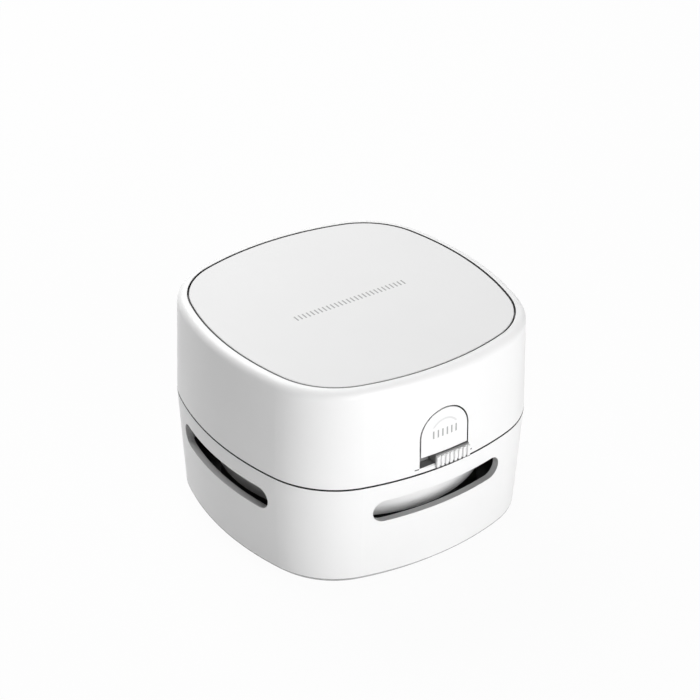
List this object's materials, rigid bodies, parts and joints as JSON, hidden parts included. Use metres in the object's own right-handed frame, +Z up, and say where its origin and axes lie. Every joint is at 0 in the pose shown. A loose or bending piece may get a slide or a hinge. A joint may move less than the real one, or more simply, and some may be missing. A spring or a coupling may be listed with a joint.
{
  "type": "desktop mini vacuum cleaner",
  "caption": "Palm-sized battery vacuum for desk crumbs: a slotted dust box below, a lift-off motor unit above with a release button and a slide switch.",
  "frame": {"origin": "centre of the plan, on the plane that the feet stand on", "axes": "+Z up, -Y towards the front with the button and the power switch, +X to the right seen from the front"},
  "size_m": [0.084, 0.0848, 0.0594],
  "materials": {
    "shell": "fine satin mould texture",
    "cup": "satin",
    "knob": "satin",
    "inner": "satin",
    "dark": "fine grain",
    "bristle": "nylon hairs",
    "foot": "soft rubber",
    "soft": "foam",
    "cloth": "felt",
    "steel": "zinc plated",
    "brass": "plain",
    "cell": "printed sleeve",
    "board": "solder mask",
    "lead": "insulation"
  },
  "bodies": {
    "dust_box": {"lower_housing": "shell", "dust_cup": "cup", "brush_ring": "dark", "brush_bristles": "bristle", "feet": "foot", "cup_screws": "steel"},
    "filter": {"filter_frame": "inner", "filter_mesh": "cloth"},
    "motor_unit": {"upper_housing": "shell", "chassis": "inner", "chassis_screws": "steel", "fan_shroud": "inner", "shroud_screws": "steel", "motor_can": "steel", "motor_end_cap": "dark", "motor_terminals": "brass", "motor_damper": "soft", "motor_screws": "steel", "battery_tray": "inner", "tray_screws": "steel", "battery_cells": "cell", "contact_springs": "steel", "contact_plates": "steel", "lead_bars": "lead", "latch_spring": "steel", "latch_screws": "steel", "switch_body": "steel", "switch_carrier": "dark", "carrier_screws": "steel", "switch_pcb": "board"},
    "fan_rotor": {"impeller": "inner", "motor_shaft": "steel"},
    "power_switch": {"switch_knob": "knob", "switch_slider": "dark"},
    "release": {"release_button": "shell"},
    "cover": {"top_cover": "shell", "cell_pads": "soft"}
  },
  "joints": [
    {"name": "unit_lift", "type": "slide", "parent": "dust_box", "child": "motor_unit", "axis": [0, 0, 1], "range_m": [0, 0.06], "deforming": ["latch_spring"]},
    {"name": "filter_lift", "type": "slide", "parent": "dust_box", "child": "filter", "axis": [0, 0, 1], "range_m": [0, 0.024]},
    {"name": "cover_lift", "type": "slide", "parent": "motor_unit", "child": "cover", "axis": [0, 0, 1], "range_m": [0, 0.03]},
    {"name": "button_press", "type": "slide", "parent": "motor_unit", "child": "release", "axis": [0, 1, 0], "range_m": [0, 0.0016], "stiffness_N_per_m": 1500, "springref_m": -0.001, "deforming": ["latch_spring"]},
    {"name": "switch_slide", "type": "slide", "parent": "motor_unit", "child": "power_switch", "axis": [-1, 0, 0], "range_m": [0, 0.004]},
    {"name": "impeller_spin", "type": "hinge", "parent": "motor_unit", "child": "fan_rotor", "pos_m": [0, 0, 0.032], "axis": [0, 0, 1], "continuous": true}
  ],
  "couplings": [
    {"joint": "filter_lift", "follows": "unit_lift", "ratio": 0.4}
  ]
}
